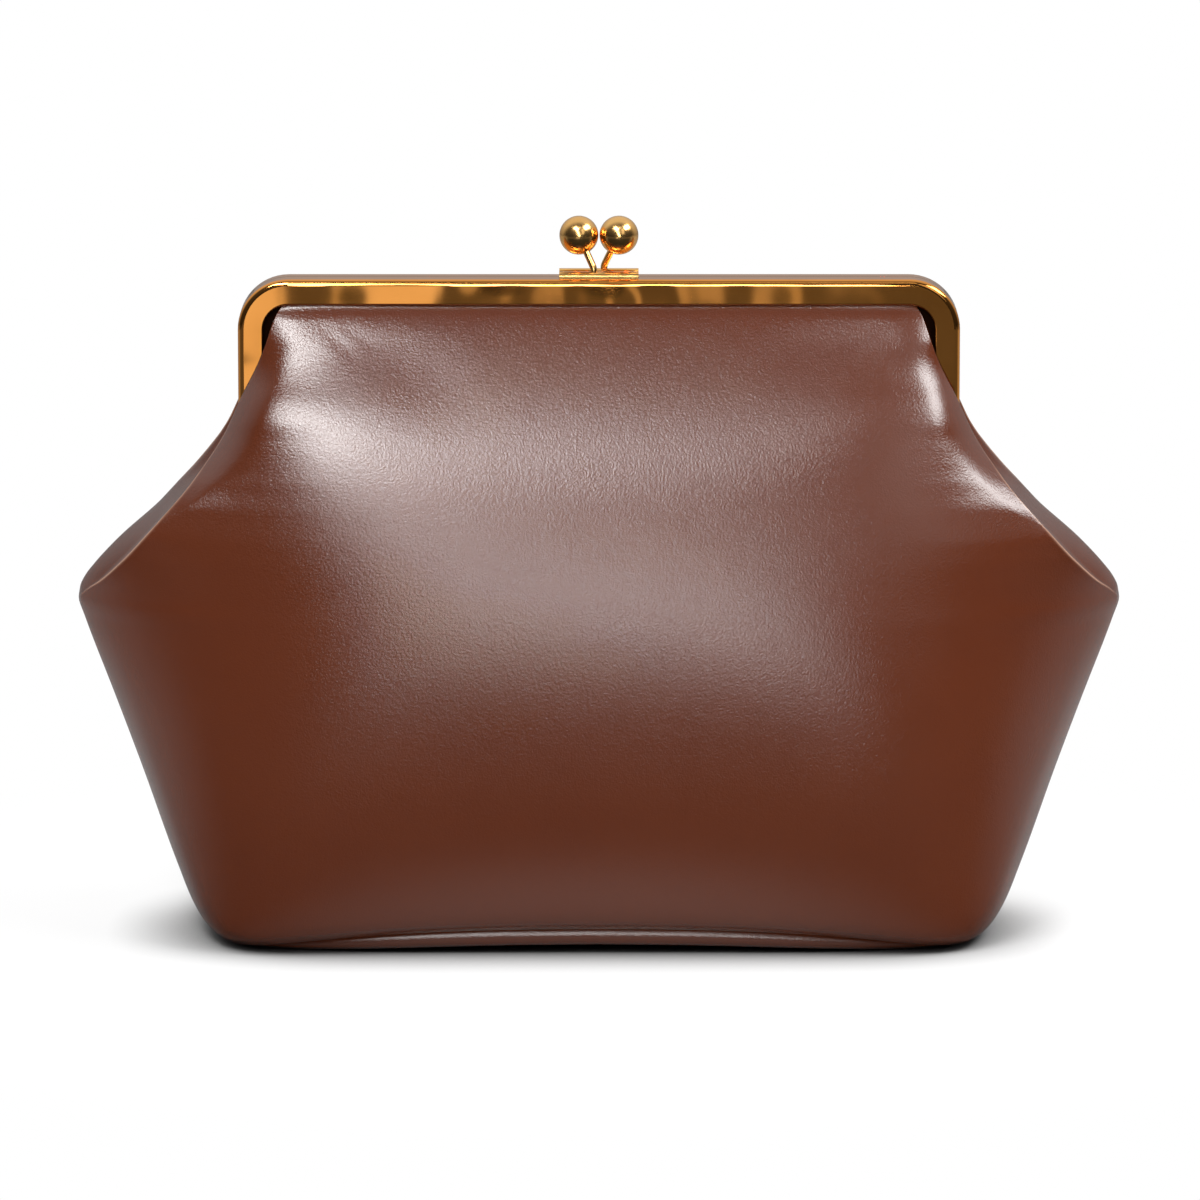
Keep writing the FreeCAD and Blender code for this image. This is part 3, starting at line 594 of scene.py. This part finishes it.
def base_outline(inset):
    """The base's outline, seen from above, set in all round."""
    turn = np.linspace(0, 2 * math.pi, RIM_POINTS, endpoint=False)
    x = np.sign(np.cos(turn)) * np.abs(np.cos(turn)) ** BASE_WIDTH_POWER
    y = np.sign(np.sin(turn)) * np.abs(np.sin(turn)) ** BASE_DEPTH_POWER
    return x * (BASE_HALF_WIDTH - inset), y * (BASE_HALF_DEPTH - inset)


def under_arch(x):
    """How far the underside of the base rises off the floor."""
    across = np.clip(np.abs(x) / SEAM_REACH, 0, 1)
    return BASE_ARCH * (1 - across**2) ** 2


def base_grid():
    rings = []
    for i in range(RIM_STEPS):
        tilt = math.pi / 2 - math.pi * i / (RIM_STEPS - 1)
        x, y = base_outline(RIM_DEPTH * (1 - math.cos(tilt)) - RIM_OUTSET)
        low = under_arch(x) + RIM_FOOT
        high = seam_arch(x, SEAM_ARCH + SEAM_LIFT) + RIM_LAP
        z = (low + high) / 2 + (high - low) / 2 * math.sin(tilt)
        rings.append(np.column_stack([x, y, z]))
    for share in UNDERSIDE_SHARES:
        x, y = base_outline(RIM_DEPTH)
        x, y = x * share, y * share
        rings.append(np.column_stack([x, y, under_arch(x) + UNDERSIDE_RISE]))
    return np.array(rings)


rings = base_grid()
closed = np.concatenate([rings, rings[:, :1]], axis=1)
base = grid_mesh("rolled_base", closed, flip=True)
bpy.context.view_layer.objects.active = base
base.select_set(True)
bpy.ops.object.mode_set(mode="EDIT")
bpy.ops.mesh.select_all(action="SELECT")
bpy.ops.mesh.remove_doubles(threshold=1e-6)
bpy.ops.mesh.normals_make_consistent(inside=False)
bpy.ops.object.mode_set(mode="OBJECT")
base.select_set(False)
paint(base, LEATHER)
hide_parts("base_panel")
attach(base, "bag")

# Stage: pale floor, studio light and camera. Stretches are distances from the purse in metres.
CAMERA_DISTANCE = 2.4
FLOOR_SIZE, FLOOR_BACK = 9.0, 1.0
WHITE_STRETCH, NEAR_WHITE = (0.10, 0.26), 0.76
CONTACT_DISTANCE, CONTACT_DEPTH = 0.026, 3
FLOOR_WHITE = (0.90, 0.90, 0.90, 1)

# Two glowing cards on the floor, far in front of the purse and seen only in reflections, put painted
# reflections on the gold; they fan out from a point about as far behind the purse as the camera is in
# front: centre, half width, brightness.
CARDS = ((-0.056, 0.030, 0.95), (0.017, 0.008, 0.50))
CARD_EDGE = 0.008
CARD_START, CARD_END, CARD_FAR_SHARE = (0.78, 0.95), (1.8, 2.3), 0.1
BARE_SHARE = 0.08

# The floor's tone in reflections: under and close to the purse, and at its sides and back
MIRROR_STRETCH, MIRROR_TONES = (0.06, 0.13), (0.34, 0.02)
BACK_SHARES, BACK_TONE = (-0.5, 0.2), 0.30


def floor_finish():
    """White where it is seen, shaded beside the base, and mostly dark in reflections."""
    material, wires, shader, place = new_finish("pale_floor")
    wires.feed(shader.inputs["Roughness"], 0.9)
    wires.feed(shader.inputs["Specular IOR Level"], 0.0)
    rays, sides = wires.rays(), wires.axes(place)
    length = wires.nodes.new("ShaderNodeVectorMath")
    length.operation = "LENGTH"
    wires.feed(length.inputs[0], place)
    distance = length.outputs["Value"]

    contact = wires.nodes.new("ShaderNodeAmbientOcclusion")
    wires.feed(contact.inputs["Distance"], CONTACT_DISTANCE)
    wires.feed(contact.inputs["Color"], FLOOR_WHITE)
    away = wires.spread(distance, *WHITE_STRETCH, NEAR_WHITE, 1.0, smooth=True)
    seen = wires.math("MULTIPLY", rays["Is Camera Ray"], away)
    for _ in range(CONTACT_DEPTH):
        seen = wires.math("MULTIPLY", seen, contact.outputs["AO"])

    mirrored = wires.math("MAXIMUM", rays["Is Glossy Ray"], rays["Is Transmission Ray"])
    far_off = wires.spread(distance, *CARD_START, 0.0, 1.0, smooth=True)
    too_far = wires.spread(distance, *CARD_END, 1.0, CARD_FAR_SHARE, smooth=True)
    reflected = wires.math("MULTIPLY", wires.math("MULTIPLY", mirrored, far_off), too_far)
    # Painted reflections: the floor glows in two cards that only glossy and transmission rays see
    fan = wires.math("DIVIDE", sides["X"], wires.math("SUBTRACT", CAMERA_DISTANCE, sides["Y"]))
    shares = BARE_SHARE
    for centre, half_width, share in CARDS:
        off = wires.math("ABSOLUTE", wires.math("SUBTRACT", fan, centre))
        inner, outer = half_width - CARD_EDGE / 2, half_width + CARD_EDGE / 2
        shares = wires.math("MAXIMUM", shares, wires.spread(off, inner, outer, share, 0.0, smooth=True))
    reflected = wires.math("MULTIPLY", reflected, shares)

    near = wires.spread(distance, *MIRROR_STRETCH, *MIRROR_TONES, smooth=True)
    backward = wires.math("DIVIDE", sides["Y"], distance)
    beside = wires.spread(backward, *BACK_SHARES, 0.0, BACK_TONE, smooth=True)
    in_mirror = wires.math("MAXIMUM", near, beside)
    tone = wires.mix("RGBA", mirrored, contact.outputs["Color"], in_mirror)
    wires.feed(shader.inputs["Base Color"], tone)
    glow = wires.nodes.new("ShaderNodeEmission")
    both = wires.nodes.new("ShaderNodeMixShader")
    wires.feed(both.inputs["Fac"], wires.math("MAXIMUM", seen, reflected))
    wires.feed(both.inputs[1], shader.outputs["BSDF"])
    wires.feed(both.inputs[2], glow.outputs["Emission"])
    wires.feed(wires.nodes["Material Output"].inputs["Surface"], both.outputs["Shader"])
    return material


bpy.ops.mesh.primitive_plane_add(size=FLOOR_SIZE, location=(0, FLOOR_BACK, 0))
bpy.ops.object.transform_apply(location=True, rotation=False, scale=False)
floor = bpy.context.object
floor.name = "floor"
paint(floor, floor_finish())
floor.select_set(False)

# Room: how bright it is from front to back, and how much reflections of it are dimmed by height
ROOM_LIFT = 0.3
ROOM_STRETCH, ROOM_SHARES = (-0.15, 0.50), (0.10, 1.0)
LEVEL_STRETCH, DIMMED_SHARES = (0.0, 0.7), (0.68, 0.25)


def white_room():
    """White to the camera; to all else bright behind the purse and dim in front of it, and dimmer
    in reflections, most of all near the level."""
    world = bpy.data.worlds.new("studio")
    world.use_nodes = True
    wires = Wiring(world.node_tree)
    way = wires.axes(wires.coordinates("Generated"))
    lifted = wires.math("MULTIPLY_ADD", way["Z"], ROOM_LIFT, way["Y"])
    behind = wires.spread(lifted, *ROOM_STRETCH, *ROOM_SHARES, smooth=True)
    rays = wires.rays()
    dimming = wires.spread(way["Z"], *LEVEL_STRETCH, *DIMMED_SHARES)
    dimmed = wires.math("MULTIPLY", rays["Is Glossy Ray"], dimming)
    mirrored = wires.math("MULTIPLY", behind, wires.math("SUBTRACT", 1.0, dimmed))
    background = wires.nodes["Background"]
    wires.feed(background.inputs["Color"], (1, 1, 1, 1))
    wires.feed(background.inputs["Strength"], wires.mix("FLOAT", rays["Is Camera Ray"], mirrored, 1.0))
    return world


scene.world = white_room()

# Soft lamps aimed at the purse: direction across and up in degrees, where 0 is straight in front,
# then distance, width and height in metres, power in watts and roll in degrees.
LAMPS = (
    ("key_light", -22, 48, 2.2, 0.92, 0.42, 23.5, -22),
    ("strip_light", -4.8, 23, 2.2, 0.26, 1.85, 15.5, 24),
    ("upper_light", 8, 54, 2.2, 0.50, 0.22, 0.7, 0),
    ("fill_light", 26, 30, 2.2, 0.60, 1.20, 2.2, 0),
    ("right_light", 69, 47, 2.0, 1.25, 0.68, 29, 0),
)
LAMP_AIM = Vector((0, 0, 0.1))


def softbox(name, azimuth, elevation, distance, width, height, power, roll):
    across, up = math.radians(azimuth), math.radians(elevation)
    away = Vector((math.sin(across) * math.cos(up), -math.cos(across) * math.cos(up), math.sin(up)))
    light = bpy.data.lights.new(name, "AREA")
    light.shape = "RECTANGLE"
    light.size, light.size_y = width, height
    light.energy = power
    obj = bpy.data.objects.new(name, light)
    obj.location = LAMP_AIM + away * distance
    turn = (-away).to_track_quat("-Z", "Y") @ Quaternion((0, 0, 1), math.radians(roll))
    obj.rotation_euler = turn.to_euler()
    scene.collection.objects.link(obj)


for lamp in LAMPS:
    softbox(*lamp)

PICTURE_WIDTH = 0.3348
SENSOR_WIDTH = 36
CAMERA_TILT = math.radians(10)
CAMERA_AIM = Vector((0.0003, 0, 0.0930))
camera_data = bpy.data.cameras.new("camera")
camera_data.sensor_width = SENSOR_WIDTH
camera_data.lens = SENSOR_WIDTH * CAMERA_DISTANCE / PICTURE_WIDTH
camera = bpy.data.objects.new("camera", camera_data)
away = Vector((0, -math.cos(CAMERA_TILT), math.sin(CAMERA_TILT)))
camera.location = CAMERA_AIM + away * CAMERA_DISTANCE
camera.rotation_euler = (CAMERA_AIM - camera.location).to_track_quat("-Z", "Y").to_euler()
scene.collection.objects.link(camera)
scene.camera = camera
scene.view_settings.view_transform = "Standard"
